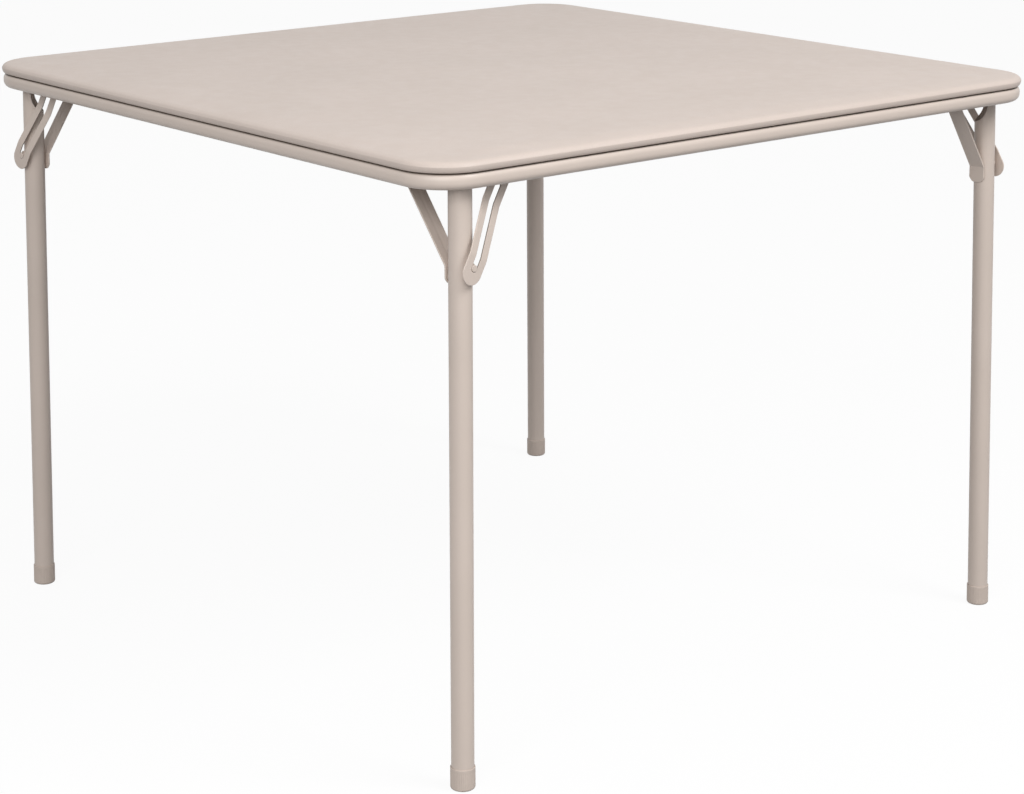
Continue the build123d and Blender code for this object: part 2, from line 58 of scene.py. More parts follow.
@dataclass
class Surface:
    """Grid of points that wraps round its columns, closed at each end by a pole or by itself.

    Args:
        points: Rows by columns by three, in millimetres or metres.
        ring: Whether the last row joins the first, so that the surface needs no poles.
        tone: A number for each point, kept on the mesh as the attribute "tone".
    """

    points: np.ndarray
    ring: bool = False
    tone: np.ndarray | None = None

    def faces(self) -> list[tuple[int, ...]]:
        """Lists the quads of the grid, and the triangles of its poles.

        Returns:
            Corner numbers of each face.
        """
        rows, columns = self.points.shape[:2]
        last = rows if self.ring else rows - 1
        row, column = np.meshgrid(np.arange(last), np.arange(columns), indexing="ij")
        after, beside = (row + 1) % rows, (column + 1) % columns
        quads = np.stack(
            [
                row * columns + column,
                row * columns + beside,
                after * columns + beside,
                after * columns + column,
            ],
            axis=-1,
        )
        found = [tuple(face) for face in quads.reshape(-1, 4).tolist()]
        if not self.ring:
            steps = np.arange(columns)
            turned = (steps + 1) % columns
            low = np.full(columns, rows * columns)
            high = low + 1
            top = (rows - 1) * columns
            found += [tuple(f) for f in np.stack([low, turned, steps], axis=1).tolist()]
            found += [
                tuple(f) for f in np.stack([high, top + steps, top + turned], axis=1).tolist()
            ]
        return found

    def mesh(self, name: str) -> bpy.types.Mesh:
        """Writes the grid into a mesh whose faces point outwards.

        Args:
            name: Name of the mesh.

        Returns:
            The new mesh, smooth shaded.
        """
        flat = self.points.reshape(-1, 3)
        tone = np.zeros(len(flat)) if self.tone is None else self.tone.reshape(-1)
        if not self.ring:
            ends = [self.points[0].mean(axis=0), self.points[-1].mean(axis=0)]
            flat = np.vstack([flat, ends])
            columns = self.points.shape[1]
            tone = np.append(tone, [tone[:columns].mean(), tone[-columns:].mean()])
        faces = self.faces()
        if signed_volume(flat, faces) < 0:
            faces = [tuple(reversed(face)) for face in faces]
        mesh = bpy.data.meshes.new(name)
        mesh.from_pydata(flat.tolist(), [], faces)
        mesh.attributes.new("tone", "FLOAT", "POINT").data.foreach_set("value", tone)
        mesh.polygons.foreach_set("use_smooth", np.ones(len(mesh.polygons), bool))
        mesh.update()
        return mesh


def signed_volume(points: np.ndarray, faces: list[tuple[int, ...]]) -> float:
    """Volume held by faces, negative where they point inwards.

    Each face is cut into a fan of triangles, and each triangle holds a sixth of its triple
    product.

    Args:
        points: Corners, one to a row.
        faces: Corner numbers of each face.

    Returns:
        The volume.
    """
    fans = [(f[0], f[i], f[i + 1]) for f in faces for i in range(1, len(f) - 1)]
    a, b, c = (points[np.array(fans)[:, side]] for side in range(3))
    return float(np.einsum("ij,ij->i", a, np.cross(b, c)).sum() / 6)


def arc(centre: tuple[float, float], radius: float, start: float, end: float, count: int):
    """Points along a circular arc, from one angle in degrees to another.

    Args:
        centre: Middle of the circle.
        radius: Its radius.
        start: First angle.
        end: Last angle.
        count: How many points, both ends included.

    Returns:
        An array of points, one to a row.
    """
    angle = np.radians(np.linspace(start, end, count))
    return np.stack(
        [centre[0] + radius * np.cos(angle), centre[1] + radius * np.sin(angle)], axis=1
    )


def straight(start: tuple[float, float], end: tuple[float, float], count: int) -> np.ndarray:
    """Evenly spaced points on a line, without its ends."""
    share = np.linspace(0, 1, count + 2)[1:-1, None]
    return np.array(start) * (1 - share) + np.array(end) * share


def rounded_square(half: float, radius: float, side: int, turn: int):
    """Outline of a square with round corners.

    Each quarter is an arc of a quarter circle and the straight run that follows it. A point
    set in by some distance is the outline's point less that distance along its normal.

    Args:
        half: Half of the square's width.
        radius: Radius of its corners.
        side: Points on each straight run.
        turn: Points on each corner.

    Returns:
        The points and their outward normals, one to a row.
    """
    angle = np.radians(np.linspace(0, 90, turn))
    normal = np.stack([np.cos(angle), np.sin(angle)], axis=1)
    corner = (half - radius) + radius * normal
    share = np.linspace(0, 1, side + 2)[1:-1, None]
    run = np.hstack([(half - radius) * (1 - 2 * share), np.full((side, 1), half)])
    run_normal = np.tile([0.0, 1.0], (side, 1))
    places = np.vstack([corner, run])
    normals = np.vstack([normal, run_normal])
    turned_places, turned_normals = [], []
    for quarter in range(4):
        c, s = math.cos(math.pi / 2 * quarter), math.sin(math.pi / 2 * quarter)
        matrix = np.array([[c, s], [-s, c]])
        turned_places.append(places @ matrix)
        turned_normals.append(normals @ matrix)
    return np.vstack(turned_places), np.vstack(turned_normals)


def smooth_step(value: np.ndarray, start: float, end: float) -> np.ndarray:
    """Rises from 0 at start to 1 at end, flat at both."""
    share = np.clip((value - start) / (end - start), 0, 1)
    return share * share * (3 - 2 * share)


def soft_ramp(value: np.ndarray, bend: float, reach: float) -> np.ndarray:
    """Zero before a bend and the distance past it after, with a parabola within reach of it."""
    near = (value - bend + reach) ** 2 / (4 * reach)
    return np.where(value < bend - reach, 0, np.where(value > bend + reach, value - bend, near))


def filleted(points: list[tuple[float, float]], radius: float, step: float) -> np.ndarray:
    """Polyline in a plane with its bends rounded to a radius.

    Args:
        points: Corners of the line.
        radius: Radius of each bend.
        step: Largest distance between points on the straight runs.

    Returns:
        Points along the line, one to a row.
    """
    corners = [np.array(p, float) for p in points]
    found = [corners[0][None]]
    for before, here, after in zip(corners, corners[1:], corners[2:]):
        into = (here - before) / np.linalg.norm(here - before)
        away = (after - here) / np.linalg.norm(after - here)
        turn = math.acos(np.clip(into @ away, -1, 1))
        reach = radius * math.tan(turn / 2)
        start, end = here - into * reach, here + away * reach
        share = np.linspace(0, 1, 9)[:, None]
        curve = (1 - share) ** 2 * start + 2 * share * (1 - share) * here + share**2 * end
        count = int(np.linalg.norm(start - found[-1][-1]) / step)
        found += [straight(found[-1][-1], start, count), curve]
    count = int(np.linalg.norm(corners[-1] - found[-1][-1]) / step)
    found += [straight(found[-1][-1], corners[-1], count), corners[-1][None]]
    return np.vstack(found)


# Places on the table


@dataclass(frozen=True)
class TableSizes:
    """Sizes that several pieces share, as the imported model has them."""

    width: float = 952.5
    height: float = 711.0
    corner_radius: float = 59.0
    pad_thickness: float = 14.5
    tube_radius: float = 13.0
    leg_splay: float = 1.26
    foot_along: float = 43.2
    foot_inward: float = 19.05
    strip_heading: float = 7.0
    stud_drop: float = 105.5
    hinge_drop: float = 15.5

    @property
    def rail_top(self) -> float:
        """Height of the seam between pad and rail."""
        return self.height - self.pad_thickness

    @property
    def splay_rate(self) -> float:
        """How far the leg leans for each millimetre of height."""
        return math.tan(math.radians(self.leg_splay))

    def leg_centre(self, height: float) -> np.ndarray:
        """Point on the leg's centre line at a height, as seen from its corner."""
        lean = self.splay_rate * height
        return np.array([self.foot_along + lean, self.foot_inward + lean, height])

    @property
    def strip_direction(self) -> np.ndarray:
        """Level direction that the flat strips' faces follow."""
        heading = math.radians(self.strip_heading)
        return np.array([math.cos(heading), math.sin(heading), 0.0])

    @property
    def strip_axis(self) -> np.ndarray:
        """Level direction across the flat strips, inwards."""
        heading = math.radians(self.strip_heading)
        return np.array([-math.sin(heading), math.cos(heading), 0.0])


SIZES = TableSizes()


class Corner(Enum):
    """The table's corners, by the quarter turns that carry the first one to them."""

    FRONT_LEFT = 0
    FRONT_RIGHT = 1
    REAR_RIGHT = 2
    REAR_LEFT = 3

    @property
    def label(self) -> str:
        """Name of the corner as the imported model's nodes start."""
        return self.name.lower()

    def on_table(self, points: np.ndarray) -> np.ndarray:
        """Carries points given at the corner in millimetres to the table, in metres.

        Args:
            points: Array whose last axis is along, inward and up.

        Returns:
            The same points, turned about the table's middle and scaled.
        """
        moved = points - np.array([SIZES.width / 2, SIZES.width / 2, 0])
        angle = math.pi / 2 * self.value
        c, s = round(math.cos(angle)), round(math.sin(angle))
        matrix = np.array([[c, s, 0], [-s, c, 0], [0, 0, 1]])
        return moved @ matrix * MM


def add_piece(mesh: bpy.types.Mesh, body: str, finish: bpy.types.Material):
    """Makes an object of a mesh, gives it its finish and lets it ride on a body.

    Args:
        mesh: The finished mesh, in metres.
        body: Name of the body that carries the piece.
        finish: Material of the piece.

    Returns:
        The new object.
    """
    piece = bpy.data.objects.new(mesh.name, mesh)
    bpy.context.scene.collection.objects.link(piece)
    mesh.materials.append(finish)
    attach(piece, body)
    log.info("%s: %d points on %s", piece.name, len(mesh.vertices), body)
    return piece


# Finishes


def linear(red: int, green: int, blue: int) -> tuple[float, float, float, float]:
    """Colour of a display's 0 to 255 values, as the shader takes it."""
    share = np.array([red, green, blue]) / 255
    value = np.where(share <= 0.04045, share / 12.92, ((share + 0.055) / 1.055) ** 2.4)
    return (*value.tolist(), 1.0)


# Shares of a base colour for painted shade: the dark line at the seam under the pad and the slot's
# inner wall in the strap.
PAINTED_SHADE = (0.16, 0.14, 0.12)
NOISE_MIDDLE = (0.3, 0.7)


def tint(base: np.ndarray, *shares: float) -> tuple[float, ...]:
    """Colour whose red, green and blue are the base's, each times a share."""
    return tuple(base * [*shares, 1])


class ShaderSheet:
    """A material's node tree, with short ways to add nodes and join them."""

    def __init__(self, name: str) -> None:
        """Starts an empty tree with a principled shader on its output."""
        self.material = bpy.data.materials.new(name)
        self.material.use_nodes = True
        self.tree = self.material.node_tree
        self.tree.nodes.clear()
        self.output = self.tree.nodes.new("ShaderNodeOutputMaterial")
        self.shader = self.tree.nodes.new("ShaderNodeBsdfPrincipled")
        self.join(self.shader.outputs["BSDF"], self.output.inputs["Surface"])

    def node(self, kind: str, **settings) -> bpy.types.Node:
        """Adds a node and sets its properties or its inputs, by name."""
        made = self.tree.nodes.new(kind)
        for name, value in settings.items():
            if hasattr(made, name):
                setattr(made, name, value)
            else:
                made.inputs[name.replace("_", " ").title()].default_value = value
        return made

    def join(self, source: bpy.types.NodeSocket, target: bpy.types.NodeSocket) -> None:
        """Links one socket to another."""
        self.tree.links.new(source, target)

    def place(self) -> bpy.types.NodeSocket:
        """Object coordinates, in metres."""
        return self.node("ShaderNodeTexCoord").outputs["Object"]

    def noise(self, scale: float, detail: float = 3.0, roughness: float = 0.5):
        """Soft noise of a scale, in cells to the metre."""
        made = self.node("ShaderNodeTexNoise", scale=scale, detail=detail, roughness=roughness)
        self.join(self.place(), made.inputs["Vector"])
        return made.outputs["Fac"]

    def cells(self, scale: float) -> bpy.types.NodeSocket:
        """Distance to the nearest of scattered points, smoothed into pebbles."""
        made = self.node("ShaderNodeTexVoronoi", feature="SMOOTH_F1", scale=scale)
        made.inputs["Smoothness"].default_value = 0.6
        self.join(self.place(), made.inputs["Vector"])
        return made.outputs["Distance"]

    def attribute(self, name: str) -> bpy.types.NodeSocket:
        """A number kept on the piece's points."""
        return self.node("ShaderNodeAttribute", attribute_name=name).outputs["Fac"]

    def spread(self, source, low: float, high: float, into: tuple[float, float] = (0.0, 1.0)):
        """Maps a number from one range to another."""
        made = self.node("ShaderNodeMapRange")
        for name, value in zip(("From Min", "From Max", "To Min", "To Max"), (low, high, *into)):
            made.inputs[name].default_value = value
        self.join(source, made.inputs["Value"])
        return made.outputs["Result"]

    def mottled(self, scale: float, detail: float, into: tuple[float, float] = (0.0, 1.0)):
        """Soft noise whose middle range is spread over another range."""
        return self.spread(self.noise(scale, detail), *NOISE_MIDDLE, into)

    def sum(self, first, second, share: float) -> bpy.types.NodeSocket:
        """First number plus a share of the second."""
        made = self.node("ShaderNodeMath", operation="MULTIPLY_ADD")
        self.join(second, made.inputs[0])
        made.inputs[1].default_value = share
        self.join(first, made.inputs[2])
        return made.outputs[0]

    def blend(self, share, low: tuple, high: tuple | bpy.types.NodeSocket):
        """Colour between two, by a share from 0 to 1.

        Args:
            share: Socket that gives the share.
            low: Colour at 0, or a socket.
            high: Colour at 1, or a socket.

        Returns:
            Socket of the blended colour.
        """
        made = self.node("ShaderNodeMix", data_type="RGBA")
        self.join(share, made.inputs["Factor"])
        sockets = [i for i in made.inputs if i.type == "RGBA"]
        for socket, colour in zip(sockets, (low, high)):
            if isinstance(colour, bpy.types.NodeSocket):
                self.join(colour, socket)
            else:
                socket.default_value = colour
        return next(o for o in made.outputs if o.type == "RGBA")

    def with_painted_shade(self, colour: bpy.types.NodeSocket, dark: tuple) -> bpy.types.NodeSocket:
        """Colour that turns dark where the attribute "tone" falls below zero, as painted shade."""
        shade_share = self.spread(self.attribute("tone"), 0.0, -1.0)
        return self.blend(shade_share, colour, dark)

    def feed(self, name: str, source: bpy.types.NodeSocket) -> None:
        """Links a socket to one of the shader's inputs."""
        self.join(source, self.shader.inputs[name])

    def relief(self, height: bpy.types.NodeSocket, depth: float, strength: float) -> None:
        """Raises the shading by a height, depth in metres."""
        made = self.node("ShaderNodeBump")
        made.inputs["Distance"].default_value = depth
        made.inputs["Strength"].default_value = strength
        self.join(height, made.inputs["Height"])
        self.join(made.outputs["Normal"], self.shader.inputs["Normal"])

    def set(self, **values: float) -> None:
        """Sets inputs of the shader, by name."""
        for name, value in values.items():
            title = name if name.isupper() else name.replace("_", " ").title()
            self.shader.inputs[title].default_value = value


@dataclass(frozen=True)
class GrainedVinyl:
    """Soft sheet vinyl with a fine pebbled grain and a satin face."""

    colour: tuple = (208, 194, 185)
    grain: float = 900.0
    name: str = "grained_vinyl"

    def material(self) -> bpy.types.Material:
        """Builds the material.

        Returns:
            Vinyl whose tone drifts slowly, with pebbles that catch the light.
        """
        sheet = ShaderSheet(self.name)
        base = np.array(linear(*self.colour))
        deep, light = tint(base, 0.975, 0.975, 0.97), tint(base, 1.02, 1.02, 1.02)
        toned = sheet.blend(sheet.mottled(7.0, 4.0), deep, light)
        pebble = sheet.cells(self.grain)
        hollow = sheet.spread(pebble, 0.1, 0.7, (0.0, 0.22))
        grained = sheet.blend(hollow, toned, tint(base, 0.8, 0.79, 0.78))
        # Painted shade darkens the vinyl at the seam, where the attribute tone is below zero.
        sheet.feed("Base Color", sheet.with_painted_shade(grained, tint(base, *PAINTED_SHADE)))
        sheet.feed("Roughness", sheet.mottled(60.0, 2.0, (0.44, 0.54)))
        height = sheet.sum(pebble, sheet.noise(2600.0, 2.0), 0.35)
        sheet.relief(height, 0.00012, 0.35)
        sheet.set(IOR=1.47)
        return sheet.material


@dataclass(frozen=True)
class SatinPaint:
    """Baked satin paint with a faint orange peel, paler where an edge is rubbed, and darkened by
    painted shade where the attribute "tone" is below zero.
    """

    name: str
    colour: tuple
    peel: float = 420.0
    roughness: float = 0.4

    def material(self) -> bpy.types.Material:
        """Builds the material.

        Returns:
            Paint whose edges, marked by the attribute "tone", are a little worn, and which takes
            painted shade where that tone is below zero.
        """
        sheet = ShaderSheet(self.name)
        base = np.array(linear(*self.colour))
        deep, light = tint(base, 0.975, 0.975, 0.972), tint(base, 1.02, 1.02, 1.02)
        toned = sheet.blend(sheet.mottled(9.0, 3.0), deep, light)
        speck = sheet.spread(sheet.noise(1400.0, 2.0), 0.62, 0.72, (0.0, 0.12))
        specked = sheet.blend(speck, toned, tint(base, 0.8, 0.78, 0.76))
        rub = sheet.spread(sheet.attribute("tone"), 0.0, 1.0, (0.0, 0.35))
        worn = sheet.blend(rub, specked, tint(base, 1.12, 1.12, 1.11))
        # Painted shade darkens the paint where the attribute tone is below zero: the rail at the
        # seam and the slot's inner wall.
        sheet.feed("Base Color", sheet.with_painted_shade(worn, tint(base, *PAINTED_SHADE)))
        gloss = (self.roughness - 0.04, self.roughness + 0.06)
        sheet.feed("Roughness", sheet.mottled(45.0, 3.0, gloss))
        sheet.relief(sheet.noise(self.peel, 2.0), 0.00006, 0.3)
        sheet.set(IOR=1.48)
        return sheet.material


@dataclass(frozen=True)
class MouldedPlastic:
    """Firm moulded plastic of the foot caps, scuffed near the floor, with painted shade in its rib
    grooves.
    """

    colour: tuple = (204, 190, 180)
    name: str = "moulded_plastic"

    def material(self) -> bpy.types.Material:
        """Builds the material.

        Returns:
            Plastic with a fine spark finish, a little darker where it meets the floor, and darker
            in its rib grooves as painted shade.
        """
        sheet = ShaderSheet(self.name)
        base = np.array(linear(*self.colour))
        deep, light = tint(base, 0.96, 0.955, 0.95), tint(base, 1.02, 1.02, 1.02)
        toned = sheet.blend(sheet.mottled(70.0, 3.0), deep, light)
        # The attribute "tone" carries the scuff near the floor and the painted shade in the rib
        # grooves.
        scuff = sheet.spread(sheet.attribute("tone"), 0.0, 1.0, (0.0, 0.4))
        sheet.feed("Base Color", sheet.blend(scuff, toned, tint(base, 0.8, 0.78, 0.76)))
        sheet.feed("Roughness", sheet.mottled(300.0, 2.0, (0.48, 0.6)))
        sheet.relief(sheet.noise(2200.0, 2.0), 0.00005, 0.4)
        sheet.set(IOR=1.5)
        return sheet.material


@dataclass(frozen=True)
class PlatedSteel:
    """Zinc plated steel of the rods, rivets and screws."""

    colour: tuple = (188, 187, 184)
    name: str = "plated_steel"

    def material(self) -> bpy.types.Material:
        """Builds the material.

        Returns:
            Dull metal with blotches in its plating.
        """
        sheet = ShaderSheet(self.name)
        base = np.array(linear(*self.colour))
        blotch = sheet.spread(sheet.noise(220.0, 4.0), 0.35, 0.65)
        sheet.feed("Base Color", sheet.blend(blotch, tint(base, 0.82, 0.81, 0.8), tuple(base)))
        sheet.feed("Roughness", sheet.mottled(900.0, 2.0, (0.3, 0.48)))
        sheet.relief(sheet.noise(1500.0, 2.0), 0.00003, 0.3)
        sheet.set(Metallic=1.0)
        return sheet.material


@dataclass(frozen=True)
class Hardboard:
    """Brown pressed-fibre board under the top, with the screen's print on its back."""

    colour: tuple = (122, 92, 66)
    screen: float = 700.0
    name: str = "hardboard"

    def material(self) -> bpy.types.Material:
        """Builds the material.

        Returns:
            Board with fibres of two browns and a fine woven print.
        """
        sheet = ShaderSheet(self.name)
        base = np.array(linear(*self.colour))
        fibre = sheet.spread(sheet.noise(260.0, 6.0, 0.7), 0.35, 0.65)
        toned = sheet.blend(fibre, tint(base, 0.7, 0.68, 0.66), tint(base, 1.25, 1.22, 1.2))
        cloud = sheet.mottled(6.0, 3.0, (0.0, 0.35))
        sheet.feed("Base Color", sheet.blend(cloud, toned, tint(base, 0.8, 0.8, 0.8)))
        sheet.feed("Roughness", sheet.mottled(400.0, 2.0, (0.72, 0.86)))
        waves = []
        for direction in ("X", "Y"):
            wave = sheet.node("ShaderNodeTexWave", bands_direction=direction, scale=self.screen / 6)
            sheet.join(sheet.place(), wave.inputs["Vector"])
            waves.append(wave.outputs["Fac"])
        woven = sheet.sum(waves[0], waves[1], 1.0)
        sheet.relief(sheet.sum(woven, sheet.noise(900.0, 3.0), 1.5), 0.0002, 0.5)
        return sheet.material


class Finish(Enum):
    """The finishes that the table's pieces take."""

    VINYL = GrainedVinyl()
    RAIL_PAINT = SatinPaint("rail_paint", (210, 196, 186))
    LEG_PAINT = SatinPaint("leg_paint", (208, 194, 184))
    STRIP_PAINT = SatinPaint("strip_paint", (209, 195, 185), 520.0, 0.44)
    CAP_PLASTIC = MouldedPlastic()
    PLATED_STEEL = PlatedSteel()
    HARDBOARD = Hardboard()


class PaintShop:
    """Makes each finish once and hands it to whatever piece asks for it."""

    def __init__(self) -> None:
        """Starts with no finish made."""
        self.made: dict[Finish, bpy.types.Material] = {}

    def get(self, finish: Finish) -> bpy.types.Material:
        """Material of a finish, made the first time it is asked for."""
        if finish not in self.made:
            self.made[finish] = finish.value.material()
        return self.made[finish]

    def dress(self, node: str, finish: Finish) -> None:
        """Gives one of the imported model's own pieces its finish."""
        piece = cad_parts[node]
        piece.data.materials.clear()
        piece.data.materials.append(self.get(finish))
        log.info("%s keeps its shape, in %s", node, finish.name.lower())


# Sub-assemblies


def round_the_table(section: np.ndarray, side: int, turn: int) -> np.ndarray:
    """Carries a section round the rail's outline.

    Each point is the outline's, less the section's inset along its normal, at its height.

    Args:
        section: Rows of inset from the outline and height.
        side: Points on each straight run.
        turn: Points on each corner.

    Returns:
        Rows of the section by points of the outline by three, in millimetres.
    """
    places, normals = rounded_square(SIZES.width / 2, SIZES.corner_radius, side, turn)
    flat = places[None] - normals[None] * section[:, :1, None]
    height = np.broadcast_to(section[:, 1, None, None], (*flat.shape[:2], 1))
    return np.concatenate([flat, height], axis=2)


@dataclass
class PaddedTop:
    """Foam pad under a vinyl cover, wrapped round the panel's edge and hemmed under it."""

    shop: PaintShop
    outset: float = 1.3
    girth_height: float = 6.6
    hem_inset: float = 5.5
    lip_inset: float = 2.2
    lip_dip: float = 0.6
    shoulder_inset: float = 8.2
    crown_drop: float = 1.5
    crown_reach: float = 48.0
    hem_reach: float = 20.1
    sheet: float = 0.72
    panel_thickness: float = 4.0
    panel_gap: float = 0.08
    vinyl: float = 0.8
    hem_middle: float = 12.0
    slack: float = 0.35
    side_points: int = 56
    turn_points: int = 15
    # Where the painted shade at the seam reaches, by inset and by height.
    seam_shade_band: tuple[float, float] = (0.4, 3.0)
    seam_shade_height: float = 2.0
    pressure: float = 4.0
    most_swell: float = 0.8
    last_step: int = 20

    def profile(self) -> tuple[np.ndarray, int]:
        """Section of the pad, from its inner face round the hem and the edge to the crown.

        The lip and the edge are quarters of two ellipses that meet at the pad's girth, and
        the crown falls from the top by the square of the distance from where it starts.

        Returns:
            Rows of inset from the rail's outline and height, and the first row of the
            outer skin that is free to swell.
        """
        top = SIZES.height - self.slack
        bottom = SIZES.rail_top
        panel_low, panel_high = bottom + self.vinyl, bottom + self.vinyl + self.panel_thickness
        inner, girth = self.sheet, bottom + self.girth_height
        low, deep = self.lip_inset + self.outset, self.girth_height + self.lip_dip
        turn = np.radians(np.linspace(0, 90, 11))
        hem = [self.lip_inset - low * np.sin(turn), girth - deep * np.cos(turn)]
        shoulder = top - self.crown_drop
        wide, tall = self.shoulder_inset + self.outset, shoulder - girth
        edge = [self.shoulder_inset - wide * np.cos(turn), girth + tall * np.sin(turn)]
        inset = np.linspace(self.shoulder_inset, self.crown_reach, 13)[1:]
        share = (self.crown_reach - inset) / (self.crown_reach - self.shoulder_inset)
        crown = [inset, top - self.crown_drop * share**2]
        over, under = panel_high + self.panel_gap, panel_low - self.panel_gap
        parts = [
            np.array([[self.crown_reach, over], [inner + 3, over]]),
            np.array([[inner, over], [inner, panel_high - 1.5]]),
            np.array([[inner + 0.4, panel_low + 0.8], [inner + 3.0, under]]),
            np.array([[self.hem_middle, under], [self.hem_reach, under]]),
            np.array([[self.hem_reach + 0.35, (panel_low + bottom) / 2]]),
            np.array([[at, bottom] for at in (self.hem_reach, self.hem_middle, self.hem_inset)]),
            np.stack(hem, axis=1),
            np.stack(edge, axis=1)[1:],
            np.stack(crown, axis=1),
        ]
        free = sum(len(part) for part in parts[:7])
        return np.vstack(parts), free

    def surface(self) -> tuple[Surface, np.ndarray]:
        """Carries the section round the outline and closes it at the middle.

        Returns:
            The closed surface in metres, and which of its points are free to swell.
        """
        section, free = self.profile()
        rim = round_the_table(section, self.side_points, self.turn_points)
        shrink = np.array([0.97, 0.93, 0.88, 0.82, 0.74, 0.64, 0.52, 0.4, 0.28, 0.16, 0.06])
        shrink = np.stack([shrink, shrink, np.ones_like(shrink)], axis=1)[:, None]
        middle_low, middle_top = rim[0] * shrink, rim[-1] * shrink
        points = np.concatenate([middle_low[::-1], rim, middle_top])
        loose = np.zeros(points.shape[:2], bool)
        loose[len(middle_low) + free :] = True
        # Painted shade: rows of the lip near the seam get a tone below zero, which darkens the
        # vinyl into a dark seam line.
        painted_seam_shade = np.zeros(points.shape[:2])
        depth = smooth_step(section[:, 0], *self.seam_shade_band)
        low = section[:, 1] < SIZES.rail_top + self.seam_shade_height
        painted_seam_shade[len(middle_low) : len(middle_low) + len(section)] = -(depth * low)[:, None]
        return Surface(points * MM, tone=painted_seam_shade), np.append(loose.reshape(-1), [False, True])

    def swell(self, piece: bpy.types.Object, loose: np.ndarray) -> None:
        """Lets the cover swell under pressure, no point further than the most allowed.

        Args:
            piece: The pad.
            loose: Which of its points may move.
        """
        scene = bpy.context.scene
        group = piece.vertex_groups.new(name="held")
        group.add(np.flatnonzero(~loose).tolist(), 1.0, "REPLACE")
        before = read_points(piece.data)
        cloth = piece.modifiers.new("cover", "CLOTH")
        settings = cloth.settings
        settings.vertex_group_mass = "held"
        settings.use_pressure = True
        settings.uniform_pressure_force = self.pressure
        settings.tension_stiffness = settings.compression_stiffness = 40
        settings.bending_stiffness = 5
        settings.mass = 0.4
        settings.quality = 6
        settings.effector_weights.gravity = 0
        cloth.collision_settings.use_collision = False
        for step in range(1, self.last_step + 1):
            scene.frame_set(step)
        view = piece.evaluated_get(bpy.context.evaluated_depsgraph_get())
        moved = read_points(view.data) - before
        piece.modifiers.remove(cloth)
        scene.frame_set(1)
        length = np.linalg.norm(moved, axis=1, keepdims=True)
        log.info("pad swells %.2f mm on average", float(length[loose].mean()) / MM)
        cap = self.most_swell * MM
        moved *= cap * np.tanh(length / cap) / np.maximum(length, 1e-9)
        piece.data.vertices.foreach_set("co", (before + moved).ravel())
        piece.data.update()

    def build(self) -> None:
        """Builds the pad, swells its cover and gives the panel its finish."""
        surface, loose = self.surface()
        mesh = surface.mesh("padded_cover")
        piece = add_piece(mesh, "table_top", self.shop.get(Finish.VINYL))
        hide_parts("vinyl_cover", "foam_pad")
        self.swell(piece, loose)
        rounding = piece.modifiers.new("rounding", "SUBSURF")
        rounding.levels = rounding.render_levels = 1
        self.shop.dress("top_panel", Finish.HARDBOARD)


def read_points(mesh: bpy.types.Mesh) -> np.ndarray:
    """Copies a mesh's points into an array, one to a row."""
    points = np.empty(len(mesh.vertices) * 3, np.float32)
    mesh.vertices.foreach_get("co", points)
    return points.reshape(-1, 3).astype(float)


@dataclass
class Rail:
    """Bulged tube that runs round under the pad, with the flange that carries the panel."""

    shop: PaintShop
    bulge_radius: float = 9.6
    fullness: float = 2.35
    # Inset band where the rail takes painted shade at the seam.
    seam_shade_band: tuple[float, float] = (1.5, 3.3)
    depth: float = 14.0
    flange_reach: float = 22.0
    wall: float = 1.2
    ease: float = 0.5
    side_points: int = 40
    turn_points: int = 25

    def section(self) -> np.ndarray:
        """Closed section: the bulge, the inner wall and the flange, with its edges eased.

        The bulge is half of a superellipse, a little fuller than a circle.

        Returns:
            Rows of inset from the outline and height.
        """
        top, radius = SIZES.rail_top, self.bulge_radius
        low, under, ease = top - 2 * radius, top - self.wall, self.ease
        turn = np.radians(np.linspace(90, 270, 41))
        out, rise = (
            np.sign(share) * np.abs(share) ** (2 / self.fullness)
            for share in (np.cos(turn), np.sin(turn))
        )
        return np.vstack(
            [
                np.stack([radius + radius * out, top - radius + radius * rise], axis=1),
                arc((self.depth - ease, low + ease), ease, 270, 360, 5),
                arc((self.depth + ease, under - ease), ease, 180, 90, 5),
                arc((self.flange_reach - ease, under + ease), ease, 270, 450, 7),
            ]
        )

    def build(self) -> None:
        """Carries the section round the outline and dresses what holds the rail."""
        section = self.section()
        points = round_the_table(section, self.side_points, self.turn_points) * MM
        # Painted shade: rows of the bulge under the pad's lip get a tone below zero, a dark line at
        # the seam.
        under_pad = section[:, 1] > SIZES.rail_top - self.bulge_radius
        painted_seam_shade = smooth_step(section[:, 0], *self.seam_shade_band) * under_pad
        tone = np.broadcast_to(-painted_seam_shade[:, None], points.shape[:2])
        mesh = Surface(points, ring=True, tone=tone).mesh("rail")
        piece = add_piece(mesh, "table_top", self.shop.get(Finish.RAIL_PAINT))
        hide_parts("rail_frame")
        for node in ("rail_screws", "hinge_screws", "brace_screws"):
            self.shop.dress(node, Finish.PLATED_STEEL)


